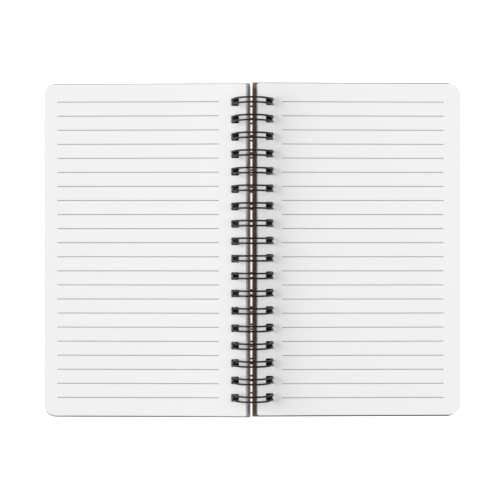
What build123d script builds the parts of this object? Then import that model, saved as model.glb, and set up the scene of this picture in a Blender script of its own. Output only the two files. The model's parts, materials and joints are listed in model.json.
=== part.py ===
from build123d import *
import os
from math import asin, cos, degrees, radians, sin, sqrt

# A pocket notebook bound with twin-loop wire, lying open flat with two leaves up.
# X runs across the spine (left-hand pages at -X), Y along it (page tops at +Y), Z up.
# The origin is on the table under the middle of the wire. Millimetres.

# --- driving dimensions -------------------------------------------------------
loop_count = 18
loop_pitch = 25.4 / 3
wire_diameter = 0.9
ring_radius = 9.1  # from the ring's axis to the middle of the wire
pair_gap = 2.4  # between the two wires of one loop, middle to middle

leaf_width = 98.8
leaf_height = 161.8
cover_width = 101.8
cover_height = 164.5
cover_thickness = 0.8
corner_radius = 5.8

hole_width = 3.8  # across the spine
hole_height = 3.8  # along the spine
hole_corner = 0.6
hole_to_edge = 5.3  # from a hole's middle to the edge beside the spine

section_count = 12  # blocks of five leaves on each side
section_thickness = 0.5
section_gap = 0.01
top_leaf_thickness = 0.1
bottom_leaf_hole = {"left": 7.7, "right": 7.55}  # from the ring's axis to a hole's middle
top_leaf_hole = 8.45  # further out than the bottom one, so each stack leans outward
top_clearance = 0.1  # between the uppermost leaf and the plane of the ring's axis
side_shift = 0.2  # the left stack sits this much lower on the page, the right one higher
cover_drop = 0.15  # the covers are punched this much above the middle, so they stand out at the foot

seam_angle = -66.0  # where the wire was closed, hidden under the back cover
seam_half_width = 12.0
bridge_bend = 1.2
loop_gap = 0.02  # each loop is a solid of its own, this far from the next

# --- sizes that follow --------------------------------------------------------
ring_height = ring_radius + wire_diameter / 2
section_step = section_thickness + section_gap
top_leaf_base = -top_clearance - top_leaf_thickness
stack_base = top_leaf_base - section_gap - section_count * section_step
cover_base = stack_base - cover_thickness
cover_middle = cover_base + cover_thickness / 2


def ring_reach(offset):
    """Distance from the ring's axis to the wire, at an offset above or below the axis."""
    return sqrt(ring_radius**2 - offset**2)


cover_play = {"left": 0.3, "right": -0.7}  # how far each cover hangs off the middle of its wire
cover_hole = {side: ring_reach(cover_middle) + play for side, play in cover_play.items()}
cover_edge = cover_hole["left"] - hole_to_edge + cover_width
up = {"left": -1, "right": 1}  # which way a side plane's Y runs along the spine, +1 for page tops

# Each side leans on its cover's outer edge, so the whole block slopes down from the ring.
slope = degrees(asin((ring_height + cover_base) / cover_edge))


def side_plane(side):
    """A plane through the ring's axis with its X along the side's leaves, away from the spine."""
    out = 1 if side == "right" else -1
    return Plane(
        origin=(0, 0, ring_height),
        x_dir=(out * cos(radians(slope)), 0, -sin(radians(slope))),
        z_dir=(out * sin(radians(slope)), 0, cos(radians(slope))),
    )


def sheet_solid(side, label, base, thickness, hole_middle, width=leaf_width, height=leaf_height, drop=0):
    """A flat sheet punched for the wire, with its two outer corners rounded."""
    plane = side_plane(side).offset(base)
    with BuildPart() as sheet:
        with BuildSketch(plane):
            with Locations((hole_middle - hole_to_edge + width / 2, side_shift - up[side] * drop)):
                Rectangle(width, height)
            fillet(vertices().group_by(Axis.X)[0 if side == "left" else -1], corner_radius)
            with Locations((hole_middle, side_shift)):
                with GridLocations(0, loop_pitch, 1, loop_count):
                    RectangleRounded(hole_width, hole_height, hole_corner, mode=Mode.SUBTRACT)
        extrude(amount=thickness)
    sheet.part.label = label
    export_step(sheet.part, f"parts/{label}.step")


os.makedirs("parts", exist_ok=True)

# --- covers, blocks of leaves and the uppermost leaves ------------------------
for side, cover_name in (("left", "front_cover"), ("right", "back_cover")):
    sheet_solid(
        side, cover_name, cover_base, cover_thickness, cover_hole[side],
        cover_width, cover_height, cover_drop,
    )
    for number in range(section_count):
        base = stack_base + number * section_step
        share = number / section_count
        hole_middle = (1 - share) * bottom_leaf_hole[side] + share * top_leaf_hole
        sheet_solid(side, f"{side}_leaves_{number + 1:02d}", base, section_thickness, hole_middle)
    sheet_solid(side, f"{side}_top_leaf", top_leaf_base, top_leaf_thickness, top_leaf_hole)


# --- the binding wire ---------------------------------------------------------
# One length of wire bent into 18 hairpins. Each hairpin starts at the middle of the straight
# bridge to the loop before, runs once round the ring, turns back at its tip and returns.
def ring_point(angle, y):
    a = radians(angle)
    return Vector(ring_radius * cos(a), y, ring_height + ring_radius * sin(a))


def ring_tangent(angle):
    a = radians(angle)
    return Vector(-sin(a), 0, cos(a))


def hairpin_path(y):
    """The path of one twin loop whose middle is at y."""
    start = seam_angle + seam_half_width
    tip = seam_angle - seam_half_width + 360
    half_way = (start + tip) / 2
    first, second = y - pair_gap / 2, y + pair_gap / 2
    along = Vector(0, 1, 0)
    bend = ring_tangent(start) * bridge_bend
    half_length = (loop_pitch - loop_gap) / 2
    with BuildLine() as path:
        low_turn = ring_point(start, first) - bend - along * bridge_bend
        Line(Vector(low_turn.X, y - half_length, low_turn.Z), low_turn)
        TangentArc(low_turn, ring_point(start, first), tangent=along)
        ThreePointArc(
            ring_point(start, first), ring_point(half_way, first), ring_point(tip, first)
        )
        ThreePointArc(
            ring_point(tip, first),
            ring_point(tip, y) + ring_tangent(tip) * (pair_gap / 2),
            ring_point(tip, second),
        )
        ThreePointArc(
            ring_point(tip, second), ring_point(half_way, second), ring_point(start, second)
        )
        high_turn = ring_point(start, second) - bend + along * bridge_bend
        TangentArc(ring_point(start, second), high_turn, tangent=-ring_tangent(start))
        Line(high_turn, Vector(high_turn.X, y + half_length, high_turn.Z))
    return path.line


with BuildPart() as binding_wire:
    for number in range(loop_count):
        middle = (number - (loop_count - 1) / 2) * loop_pitch
        route = hairpin_path(middle)
        with BuildSketch(Plane(origin=route @ 0, z_dir=route % 0)):
            Circle(wire_diameter / 2)
        sweep(path=route)
binding_wire.part.label = "binding_wire"
export_step(binding_wire.part, "parts/binding_wire.step")
print(f"slope {slope:.3f} degrees, ring axis {ring_height:.2f} mm above the table")
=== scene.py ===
# %% [markdown]
# A pocket notebook on twin-loop wire
#
# The notebook lies open on a pale table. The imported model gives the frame: bodies that turn about
# the wire, and plain plates for the covers and the leaves. This script keeps every place and size
# from that frame and builds the surfaces that are seen: sheets of paper with their own cut edges,
# two board covers and one length of coated wire.

# %% Load the frame
import json
import math
import random

import bmesh
import bpy
from mathutils import Matrix, Vector


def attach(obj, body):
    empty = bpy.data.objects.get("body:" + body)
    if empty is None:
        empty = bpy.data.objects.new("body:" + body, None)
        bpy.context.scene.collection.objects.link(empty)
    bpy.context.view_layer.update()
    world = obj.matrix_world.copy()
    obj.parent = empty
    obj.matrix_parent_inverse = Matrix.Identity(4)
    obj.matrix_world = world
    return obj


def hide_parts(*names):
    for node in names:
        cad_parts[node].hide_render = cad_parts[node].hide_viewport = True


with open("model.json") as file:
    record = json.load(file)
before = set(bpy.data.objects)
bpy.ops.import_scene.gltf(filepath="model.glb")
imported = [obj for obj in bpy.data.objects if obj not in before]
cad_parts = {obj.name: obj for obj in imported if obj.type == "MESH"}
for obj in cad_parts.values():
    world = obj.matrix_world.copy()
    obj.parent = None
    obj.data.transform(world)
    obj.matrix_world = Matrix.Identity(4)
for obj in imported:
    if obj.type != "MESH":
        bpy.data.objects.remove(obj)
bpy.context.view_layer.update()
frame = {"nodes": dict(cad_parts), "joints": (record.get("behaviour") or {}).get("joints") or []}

# %% [markdown]
# Every sheet of the notebook turns about one line, the axis of the wire rings. The joint that
# closes the front cover says where that line is and how far the cover turns. It turns a half
# circle and twice the slope at which each side leans on the table, so the slope comes from there.

# %% Read the ring's axis and the slope of the pages
MM = 0.001
closing = next(j for j in frame["joints"] if j["name"] == "front_cover_turn")
ring_height = closing["pos_m"][2]
slope = math.radians(closing["range_deg"][1] - 180) / 2
wire_radius = 0.45 * MM
ring_radius = ring_height - wire_radius
loop_count = 18
loop_pitch = 25.4 * MM / 3
OUT = {"left": -1, "right": 1}
print(f"ring axis {ring_height / MM:.2f} mm up, pages slope {math.degrees(slope):.2f} degrees")


# %% [markdown]
# A side frame makes the modelling simple. In it x runs along the pages away from the spine, y
# runs up the page, and z stands off the pages, all counted from the ring's axis. One matrix
# carries a side frame into the frame of the whole notebook, mirrored for the left-hand pages.


# %% Side frames
def side_matrix(side):
    out = OUT[side]
    along = Vector((out * math.cos(slope), 0, -math.sin(slope)))
    off = Vector((out * math.sin(slope), 0, math.cos(slope)))
    place = Matrix.Identity(4)
    for row in range(3):
        place[row][0], place[row][1], place[row][2] = along[row], (0, 1, 0)[row], off[row]
    place[2][3] = ring_height
    return place


def side_extent(node, side):
    """Lowest and highest corner of a CAD node, in its side frame."""
    back = side_matrix(side).inverted()
    points = [back @ v.co for v in frame["nodes"][node].data.vertices]
    low = Vector(min(p[k] for p in points) for k in range(3))
    high = Vector(max(p[k] for p in points) for k in range(3))
    return low, high


leaf_low, leaf_high = side_extent("right_top_leaf", "right")
print("leaf", [round((b - a) / MM, 2) for a, b in zip(leaf_low, leaf_high)])

# %% [markdown]
# The finishes come next, as small node trees. Paper is nearly white and matt. Its fibres show as
# a faint mottle of colour and a very fine bump, both from noise in object coordinates, so that
# they stay with the sheet when it turns.


# %% Paper
def new_material(name):
    material = bpy.data.materials.new(name)
    material.use_nodes = True
    nodes, links = material.node_tree.nodes, material.node_tree.links
    shader = nodes["Principled BSDF"]
    return material, nodes, links, shader


def noise(nodes, links, scale, detail, stretch=(1, 1, 1)):
    """A noise texture in object coordinates, which are metres here."""
    where = nodes.new("ShaderNodeTexCoord")
    mapping = nodes.new("ShaderNodeMapping")
    mapping.inputs["Scale"].default_value = stretch
    texture = nodes.new("ShaderNodeTexNoise")
    texture.inputs["Scale"].default_value = scale
    texture.inputs["Detail"].default_value = detail
    links.new(where.outputs["Object"], mapping.inputs["Vector"])
    links.new(mapping.outputs["Vector"], texture.inputs["Vector"])
    return texture.outputs["Fac"]


def ramp(nodes, links, factor, stops):
    """Colours along a factor, as [(place, (r, g, b)), ...]."""
    made = nodes.new("ShaderNodeValToRGB")
    elements = made.color_ramp.elements
    elements[0].position, elements[-1].position = stops[0][0], stops[-1][0]
    for place, _ in stops[1:-1]:
        elements.new(place)
    for element, (_, colour) in zip(elements, stops):
        element.color = (*colour, 1)
    links.new(factor, made.inputs["Fac"])
    return made.outputs["Color"]


def bump(nodes, links, height, strength, distance, shader):
    """Roughens a shader by a height, in metres at strength 1."""
    made = nodes.new("ShaderNodeBump")
    made.inputs["Strength"].default_value = strength
    made.inputs["Distance"].default_value = distance
    links.new(height, made.inputs["Height"])
    links.new(made.outputs["Normal"], shader.inputs["Normal"])


def paper_material(name, tone, cloud):
    """Paper of a tone, with clouds that are a little darker."""
    material, nodes, links, shader = new_material(name)
    dark = tuple(c - cloud for c in tone)
    colour = ramp(nodes, links, noise(nodes, links, 900, 4), [(0.3, dark), (0.7, tone)])
    links.new(colour, shader.inputs["Base Color"])
    shader.inputs["Roughness"].default_value = 0.85
    shader.inputs["Specular IOR Level"].default_value = 0.25
    bump(nodes, links, noise(nodes, links, 2600, 3), 0.12, 0.03 * MM, shader)
    return material


page_paper = paper_material("page_paper", (0.87, 0.87, 0.87), 0.012)
cut_paper = paper_material("cut_edges_of_the_paper", (0.70, 0.70, 0.685), 0.1)


# %% [markdown]
# The ruling is a thin grey ink printed on the paper. Offset ink sinks in and shows the paper's
# fibre as small breaks of tone, so the ink has a coarser noise in its grey than the paper has.


# %% Ruling ink
def ink_material():
    material, nodes, links, shader = new_material("ruling_ink")
    strong, weak = (0.20, 0.20, 0.20), (0.32, 0.32, 0.32)
    grey = ramp(nodes, links, noise(nodes, links, 2200, 3), [(0.3, strong), (0.75, weak)])
    links.new(grey, shader.inputs["Base Color"])
    shader.inputs["Roughness"].default_value = 0.8
    return material


ruling_ink = ink_material()


# %% [markdown]
# Both covers are board of recycled fibre. The front one is a cool grey, the back one brown kraft.
# Long fibres lie every way in such board, so two stretched noises are laid over each other, one
# along the page and one across it, and a scatter of dark and pale specks goes on top.


# %% Cover board
def board_material(name, tone, deep, speck):
    """Board of a tone, with deeper hollows, paler fibres and dark specks."""
    pale = tuple(min(1, c * 1.12) for c in tone)
    material, nodes, links, shader = new_material(name)
    along = noise(nodes, links, 900, 5, (1, 0.5, 1))
    across = noise(nodes, links, 900, 5, (0.5, 1, 1))
    both = nodes.new("ShaderNodeMath")
    both.operation = "ADD"
    links.new(along, both.inputs[0])
    links.new(across, both.inputs[1])
    half = nodes.new("ShaderNodeMath")
    half.operation = "MULTIPLY"
    half.inputs[1].default_value = 0.5
    links.new(both.outputs[0], half.inputs[0])
    fibre = ramp(nodes, links, half.outputs[0], [(0.34, deep), (0.52, tone), (0.7, pale)])
    speck_places = [(0.27, (1, 1, 1)), (0.33, (0, 0, 0))]
    specks = ramp(nodes, links, noise(nodes, links, 1800, 2), speck_places)
    mix = nodes.new("ShaderNodeMixRGB")
    mix.inputs["Color2"].default_value = (*speck, 1)
    links.new(specks, mix.inputs["Fac"])
    links.new(fibre, mix.inputs["Color1"])
    links.new(mix.outputs["Color"], shader.inputs["Base Color"])
    shader.inputs["Roughness"].default_value = 0.78
    shader.inputs["Specular IOR Level"].default_value = 0.3
    bump(nodes, links, half.outputs[0], 0.3, 0.08 * MM, shader)
    return material


grey_board = board_material(
    "grey_board", tone=(0.36, 0.37, 0.36), deep=(0.27, 0.28, 0.27), speck=(0.16, 0.16, 0.15)
)
kraft_board = board_material(
    "kraft_board", tone=(0.28, 0.20, 0.12), deep=(0.20, 0.14, 0.085), speck=(0.11, 0.075, 0.04)
)


# %% [markdown]
# The wire has a black nylon coat: a smooth plastic skin, not bare metal. It is dark with a soft
# highlight, a little orange peel in the skin, and rougher where the leaves have rubbed it.


# %% Wire coating
def coating_material():
    material, nodes, links, shader = new_material("black_nylon_coat")
    rub = noise(nodes, links, 420, 3)
    fresh, rubbed = (0.006, 0.006, 0.007), (0.014, 0.013, 0.013)
    colour = ramp(nodes, links, rub, [(0.35, fresh), (0.7, rubbed)])
    links.new(colour, shader.inputs["Base Color"])
    rough = nodes.new("ShaderNodeMapRange")
    for socket, value in (("From Min", 0.3), ("From Max", 0.7), ("To Min", 0.26), ("To Max", 0.42)):
        rough.inputs[socket].default_value = value
    links.new(rub, rough.inputs["Value"])
    links.new(rough.outputs["Result"], shader.inputs["Roughness"])
    shader.inputs["Specular IOR Level"].default_value = 0.3
    bump(nodes, links, noise(nodes, links, 3800, 2), 0.1, 0.03 * MM, shader)
    return material


black_coat = coating_material()


# %% [markdown]
# One helper cuts every sheet. It draws the outline with two rounded outer corners and the row of
# punched holes as flat curves, lets Blender fill between them, and gives the result its thickness.
# A small rounding on all edges keeps light on them, as the soft crush of a guillotine does.


# %% Cut a sheet
hole_size = 3.8 * MM
hole_corner = 0.6 * MM
hole_to_edge = 5.3 * MM
corner_radius = 5.8 * MM
hole_corner_steps = 3
weld = 0.001 * MM  # points closer than this are one


def rounded_outline(low_x, high_x, half_y, radii, steps):
    """Points round a rectangle, counter-clockwise from low x and low y, with a radius for each."""
    corners = [(low_x, -half_y), (high_x, -half_y), (high_x, half_y), (low_x, half_y)]
    inward = [(1, 1), (-1, 1), (-1, -1), (1, -1)]
    points = []
    for turn, ((x, y), (dx, dy), r) in enumerate(zip(corners, inward, radii)):
        if not r:
            points.append((x, y))
            continue
        for step in range(steps + 1):
            a = math.radians(180 + 90 * turn + 90 * step / steps)
            points.append((x + dx * r + r * math.cos(a), y + dy * r + r * math.sin(a)))
    return points


def add_loop(curve, points):
    spline = curve.splines.new("POLY")
    spline.points.add(len(points) - 1)
    for point, (x, y) in zip(spline.points, points):
        point.co = (x, y, 0, 1)
    spline.use_cyclic_u = True


def cut_sheet(hole_x, width, height, thickness, rounding, corner_steps=8, drop=0):
    """A flat punched sheet as a bmesh in a side frame, its lower face at z 0. The row of holes is
    centred on y 0, and the outline sits a drop lower."""
    curve = bpy.data.curves.new("outline", "CURVE")
    curve.dimensions = "2D"
    curve.fill_mode = "BOTH"
    curve.extrude = thickness / 2 - rounding
    curve.bevel_depth = rounding
    curve.bevel_resolution = 1
    curve.offset = -rounding
    low_x = hole_x - hole_to_edge
    radii = (0, corner_radius, corner_radius, 0)
    outline = rounded_outline(low_x, low_x + width, height / 2, radii, corner_steps)
    add_loop(curve, [(x, y - drop) for x, y in outline])
    half_hole, hole_radii = hole_size / 2, (hole_corner,) * 4
    for number in range(loop_count):
        y = (number - (loop_count - 1) / 2) * loop_pitch
        hole = rounded_outline(-half_hole, half_hole, half_hole, hole_radii, hole_corner_steps)
        add_loop(curve, [(hole_x + x, y + dy) for x, dy in hole])
    shape = bpy.data.objects.new("outline", curve)
    bpy.context.scene.collection.objects.link(shape)
    bpy.context.view_layer.update()
    flat = bpy.data.meshes.new_from_object(shape)
    bpy.data.objects.remove(shape)
    bpy.data.curves.remove(curve)
    sheet = bmesh.new()
    sheet.from_mesh(flat)
    bpy.data.meshes.remove(flat)
    bmesh.ops.remove_doubles(sheet, verts=sheet.verts, dist=weld)
    bmesh.ops.translate(sheet, vec=(0, 0, thickness / 2), verts=sheet.verts)
    return sheet


def slice_sheet(sheet, places, axis):
    """Cuts new edges across an axis at each place, for a sheet to bend or change colour there."""
    for place in places:
        point, normal = Vector((0, 0, 0)), Vector((0, 0, 0))
        point[axis], normal[axis] = place, 1
        everything = sheet.verts[:] + sheet.edges[:] + sheet.faces[:]
        bmesh.ops.bisect_plane(
            sheet, geom=everything, plane_co=point, plane_no=normal, dist=weld / 10
        )


# %% [markdown]
# Paper on wire never lies quite flat. The wire props the stack up beside the spine, and from there
# the leaves sink until they lie close on each other. The fall is steep at first and dies away like
# a spring's, and close to the free edge the leaves lift a little again. The lowest leaf lies on
# its cover and doesn't sink at all, and the others sink by their share.

# %% The lie of a leaf
dip_depth = 0.85 * MM
dip_start, dip_length = 9.5 * MM, 15 * MM
edge_spring = 0.3  # the share of the dip that is gone at the free edge


def dip(x):
    along = max(0.0, x - dip_start)
    rising = (along / (leaf_high.x - dip_start)) ** 2
    return dip_depth * (1 - math.exp(-along / dip_length)) * (1 - edge_spring * rising)


# Cuts to bend at, close together where the fall is steep.
bend_places = [
    v * MM for v in (9.5, 11, 13, 15, 17, 20, 23, 26, 30, 35, 40, 47, 55, 64, 74, 84, 94)
]
print("deepest dip", round(max(dip(x) for x in bend_places) / MM, 3), "mm")

# %% [markdown]
# A ruled leaf is cut along both edges of every line, and the narrow faces between the cuts get
# the ink. The lines are then part of the sheet, so they bend with it and stay sharp at any size.
# A page has 22 lines, and they stop short of the spine and of the free edge.

# %% Ruling
line_count = 22
line_gap = 6.87 * MM
line_width = 0.36 * MM
ruling_start = {"left": 16.3 * MM, "right": 14.45 * MM}  # the margin beside the spine
ruling_length = 79.0 * MM
ruling_drop = 0.08 * MM  # the block of lines sits this much below the middle of the row of holes
line_places = [((line_count - 1) / 2 - n) * line_gap - ruling_drop for n in range(line_count)]


def rule_sheet(sheet, side):
    """Cuts the lines into a leaf. The faces are inked afterwards, by where their middles are."""
    slice_sheet(sheet, (ruling_start[side], ruling_start[side] + ruling_length), 0)
    for y in line_places:
        slice_sheet(sheet, (y - line_width / 2, y + line_width / 2), 1)


def is_flat(face):
    """Whether a face belongs to the upper or lower side of a sheet, and not to its cut edge."""
    return abs(face.normal.z) > 0.999


def is_inked(face, side):
    middle = face.calc_center_median()
    if not is_flat(face) or not 0 < middle.x - ruling_start[side] < ruling_length:
        return False
    return any(abs(middle.y - y) < line_width / 2 for y in line_places)


# %% [markdown]
# The frame gives the leaves in blocks of five, because one part can't hold a hundred nodes. Here
# each block becomes five real leaves in one piece. Every leaf is a copy of the same plain sheet,
# set at its own height, pushed a hair's breadth along and across the wire, and bent to its share
# of the dip. Only leaves that can come to face the reader are ruled.

# %% Leaves
leaf_width = leaf_high.x - leaf_low.x
leaf_height = leaf_high.y - leaf_low.y
leaf_thickness = 0.085 * MM
leaf_rounding = 0.012 * MM
leaves_per_block = 5
block_count = 12
half_count = block_count // 2
stack_base = side_extent("right_leaves_01", "right")[0].z
leaf_finishes = (page_paper, cut_paper, ruling_ink)
PAGE, CUT, INK = 0, 1, 2  # places in leaf_finishes
jitter = random.Random(7)
jitter_out, jitter_along = (-0.06, 0.03), (-0.03, 0.03)  # mm, less than the play of the holes

plain_leaf = cut_sheet(0, leaf_width, leaf_height, leaf_thickness, leaf_rounding)
print("one leaf:", len(plain_leaf.verts), "vertices,", len(plain_leaf.faces), "faces")


def add_leaf(into, side, base, hole_x, middle_y, ruled):
    """Puts one leaf into a bmesh that is in a side frame."""
    sheet = plain_leaf.copy()
    bmesh.ops.translate(sheet, vec=(hole_x, middle_y, 0), verts=sheet.verts)
    slice_sheet(sheet, bend_places, 0)
    if ruled:
        rule_sheet(sheet, side)
    sheet.normal_update()
    share = (base - stack_base) / -stack_base
    for face in sheet.faces:
        face.smooth = is_flat(face)
        face.material_index = PAGE if face.smooth else CUT
        if ruled and is_inked(face, side):
            face.material_index = INK
    for edge in sheet.edges:
        edge.smooth = all(face.smooth for face in edge.link_faces)
    for v in sheet.verts:
        v.co.z += base - share * dip(v.co.x)
    flat = bpy.data.meshes.new("leaf")
    sheet.to_mesh(flat)
    sheet.free()
    into.from_mesh(flat)
    bpy.data.meshes.remove(flat)


def finish_piece(sheet, name, side, materials, body, nodes):
    """Turns a bmesh into a piece on its body, standing for its CAD nodes. The bmesh is in the
    frame of its side, or in that of the whole notebook where the side is None."""
    mesh = bpy.data.meshes.new(name)
    if side:
        sheet.transform(side_matrix(side))
        if OUT[side] < 0:
            bmesh.ops.reverse_faces(sheet, faces=sheet.faces)
    sheet.to_mesh(mesh)
    sheet.free()
    piece = bpy.data.objects.new(name, mesh)
    bpy.context.scene.collection.objects.link(piece)
    for material in materials:
        mesh.materials.append(material)
    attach(piece, body)
    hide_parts(*nodes)
    return piece


def body_of_block(side, number):
    """The lower half of the blocks turns as one body, and the upper half as another."""
    return f"{side}_{'lower' if number <= half_count else 'upper'}_leaves"


def build_leaves(side):
    top_low, top_high = side_extent(f"{side}_top_leaf", side)
    bottom_low, _ = side_extent(f"{side}_leaves_01", side)
    step_out = (top_low.x - bottom_low.x) / (block_count * leaves_per_block)
    for number in range(1, block_count + 1):
        node = f"{side}_leaves_{number:02d}"
        low, high = side_extent(node, side)
        block = bmesh.new()
        step = (high.z - low.z) / leaves_per_block
        for leaf in range(leaves_per_block):
            base = low.z + leaf * step
            hole_x = low.x + hole_to_edge + leaf * step_out
            facing_up = leaf == leaves_per_block - 1 and number in (half_count, block_count)
            facing_down = leaf == 0 and number in (1, half_count + 1)
            hole_x += jitter.uniform(*jitter_out) * MM
            middle_y = (low.y + high.y) / 2 + jitter.uniform(*jitter_along) * MM
            add_leaf(block, side, base, hole_x, middle_y, facing_up or facing_down)
        finish_piece(
            block, f"{side}_leaf_block_{number:02d}", side, leaf_finishes,
            body_of_block(side, number), [node],
        )
    top = bmesh.new()
    add_leaf(top, side, top_low.z, top_low.x + hole_to_edge, (top_low.y + top_high.y) / 2, True)
    finish_piece(
        top, f"{side}_uppermost_leaf", side, leaf_finishes,
        f"{side}_top_leaf", [f"{side}_top_leaf"],
    )


for side in OUT:
    build_leaves(side)

# %% [markdown]
# The covers are the same cut, in thicker board, with a rounder edge. They are longer than the
# leaves and punched a little above their middle, so more of them stands out at the foot than at
# the head. The board is the same all through, so one material serves for its faces and its edges.

# %% Covers
cover_rounding = 0.12 * MM
cover_corner_steps = 14


def build_cover(side, node, body, material):
    low, high = side_extent(node, side)
    leaf_foot, leaf_head = side_extent(f"{side}_top_leaf", side)
    row_y = (leaf_foot.y + leaf_head.y) / 2
    size = high - low
    drop = row_y - (low.y + high.y) / 2
    sheet = cut_sheet(
        low.x + hole_to_edge, size.x, size.y, size.z, cover_rounding, cover_corner_steps, drop
    )
    bmesh.ops.translate(sheet, vec=(0, row_y, low.z), verts=sheet.verts)
    return finish_piece(sheet, node + "_board", side, (material,), body, [node])


build_cover("left", "front_cover", "front_cover", grey_board)
build_cover("right", "back_cover", "back_cover_and_wire", kraft_board)

# %% [markdown]
# Twin-loop wire is one length of wire bent into a row of hairpins and then rolled into a tube.
# Each hairpin starts on the straight bridge under the back cover, runs round the ring, turns back
# at its rounded tip and returns beside itself, so every hole holds two wires. The route is worked
# out loop by loop from the ring's radius, and a round bevel makes it a tube.

# %% Binding wire
pair_gap = 2.4 * MM
seam_angle = math.radians(-66)
seam_half_width = math.radians(12)
bridge_bend = 1.2 * MM
ring_steps, bend_steps = 44, 6


def on_ring(angle, y, reach=0.0):
    """A point on the ring, or reach further along its tangent there."""
    x = ring_radius * math.cos(angle) - reach * math.sin(angle)
    z = ring_radius * math.sin(angle) + reach * math.cos(angle)
    return Vector((x, y, ring_height + z))


def hairpin(y):
    """The points of one twin loop, from bridge to bridge."""
    start, tip = seam_angle + seam_half_width, seam_angle - seam_half_width + 2 * math.pi
    first, second, half = y - pair_gap / 2, y + pair_gap / 2, pair_gap / 2
    quarter = [math.pi / 2 * n / bend_steps for n in range(bend_steps)]
    points = [
        on_ring(start, first - bridge_bend * (1 - math.sin(a)), -bridge_bend * math.cos(a))
        for a in quarter
    ]
    points += [
        on_ring(start + (tip - start) * n / ring_steps, first) for n in range(ring_steps + 1)
    ]
    points += [
        on_ring(tip, y - half * math.cos(a), half * math.sin(a))
        for a in (math.pi * n / (2 * bend_steps) for n in range(1, 2 * bend_steps))
    ]
    points += [
        on_ring(tip - (tip - start) * n / ring_steps, second) for n in range(ring_steps + 1)
    ]
    points += [
        on_ring(start, second + bridge_bend * (1 - math.sin(a)), -bridge_bend * math.cos(a))
        for a in reversed(quarter)
    ]
    return points


def build_wire():
    curve = bpy.data.curves.new("wire", "CURVE")
    curve.dimensions = "3D"
    curve.bevel_depth = wire_radius
    curve.bevel_resolution = 4
    curve.use_fill_caps = True
    middles = [(n - (loop_count - 1) / 2) * loop_pitch for n in range(loop_count)]
    route = [point for y in middles for point in hairpin(y)]
    end_bridge = Vector((0, loop_pitch / 2 - pair_gap / 2 - bridge_bend, 0))
    route = [route[0] - end_bridge, *route, route[-1] + end_bridge]
    spline = curve.splines.new("POLY")
    spline.points.add(len(route) - 1)
    for point, place in zip(spline.points, route):
        point.co = (*place, 1)
    shape = bpy.data.objects.new("wire", curve)
    bpy.context.scene.collection.objects.link(shape)
    bpy.context.view_layer.update()
    mesh = bpy.data.meshes.new_from_object(shape)
    bpy.data.objects.remove(shape)
    wire = bmesh.new()
    wire.from_mesh(mesh)
    for face in wire.faces:
        face.smooth = True
    piece = finish_piece(
        wire, "twin_loop_wire", None, (black_coat,),
        "back_cover_and_wire", ["binding_wire"],
    )
    length = sum((b - a).length for a, b in zip(route, route[1:]))
    print(f"wire {length:.2f} m long, {len(piece.data.polygons)} faces")


build_wire()


# %% [markdown]
# The table is a plain pale sheet, much larger than the notebook, and isn't part of it. It glows a
# little, like a light table, so that no grey shadow frames the notebook and the slit between the
# two covers stays white. Under each cover it doesn't glow, or the holes would be lit from below.


# %% Table
table_reach = 3000 * MM
shade_inner, shade_outer, shade_half_length = 2.5 * MM, 94 * MM, 76 * MM


def table_material(name, glow):
    material, _, _, shader = new_material(name)
    shader.inputs["Base Color"].default_value = (0.99, 0.99, 0.99, 1)
    shader.inputs["Roughness"].default_value = 0.9
    shader.inputs["Emission Color"].default_value = (1, 1, 1, 1)
    shader.inputs["Emission Strength"].default_value = glow
    return material


def build_table():
    """A large floor in cells, five across the spine and three along it."""
    across = [-table_reach, -shade_outer, -shade_inner, shade_inner, shade_outer, table_reach]
    along = [-table_reach, -shade_half_length, shade_half_length, table_reach]
    table = bmesh.new()
    rows = [[table.verts.new((x, y, 0)) for x in across] for y in along]
    for j in range(len(along) - 1):
        for i in range(len(across) - 1):
            corners = (rows[j][i], rows[j][i + 1], rows[j + 1][i + 1], rows[j + 1][i])
            under_a_cover = j == 1 and i in (1, 3)
            table.faces.new(corners).material_index = 1 if under_a_cover else 0
    mesh = bpy.data.meshes.new("table_top")
    table.to_mesh(mesh)
    table.free()
    mesh.materials.append(table_material("pale_table", 0.8))
    mesh.materials.append(table_material("pale_table_in_shade", 0))
    floor = bpy.data.objects.new("table_top", mesh)
    bpy.context.scene.collection.objects.link(floor)


build_table()


# %% [markdown]
# Soft studio light: a wide lamp on the left, low enough to shade the fall of the pages beside the
# wire, a weaker one on the other side that makes up for it on the right-hand page, and a pale
# world that fills what the lamps don't reach.


# %% Light
def area_light(name, place, size, power):
    """A square lamp aimed at the middle of the notebook, in metres and watts."""
    lamp = bpy.data.lights.new(name, "AREA")
    lamp.shape = "SQUARE"
    lamp.size = size
    lamp.energy = power
    holder = bpy.data.objects.new(name, lamp)
    holder.location = place
    holder.rotation_euler = (-Vector(place)).to_track_quat("-Z", "Y").to_euler()
    bpy.context.scene.collection.objects.link(holder)


area_light("key_from_the_left", place=(-3.2, 0.4, 2.2), size=2.4, power=160)
area_light("fill_from_the_right", place=(0.5, 0.1, 0.55), size=0.5, power=1.6)

world = bpy.data.worlds.new("studio")
world.use_nodes = True
sky = world.node_tree.nodes["Background"]
sky.inputs["Color"].default_value = (1, 1, 1, 1)
sky.inputs["Strength"].default_value = 0.3
bpy.context.scene.world = world
bpy.context.scene.view_settings.view_transform = "Standard"

# %% [markdown]
# The camera looks straight down from a little over half a metre, through a short telephoto lens,
# a touch to the left of the spine.

# %% Camera
camera_data = bpy.data.cameras.new("camera")
camera_data.sensor_width = 36
camera_data.lens = 85.788
camera = bpy.data.objects.new("camera", camera_data)
camera.location = (-1.17 * MM, -0.2 * MM, 589 * MM)
bpy.context.scene.collection.objects.link(camera)
bpy.context.scene.camera = camera
print("lens", round(camera_data.lens, 1), "mm")
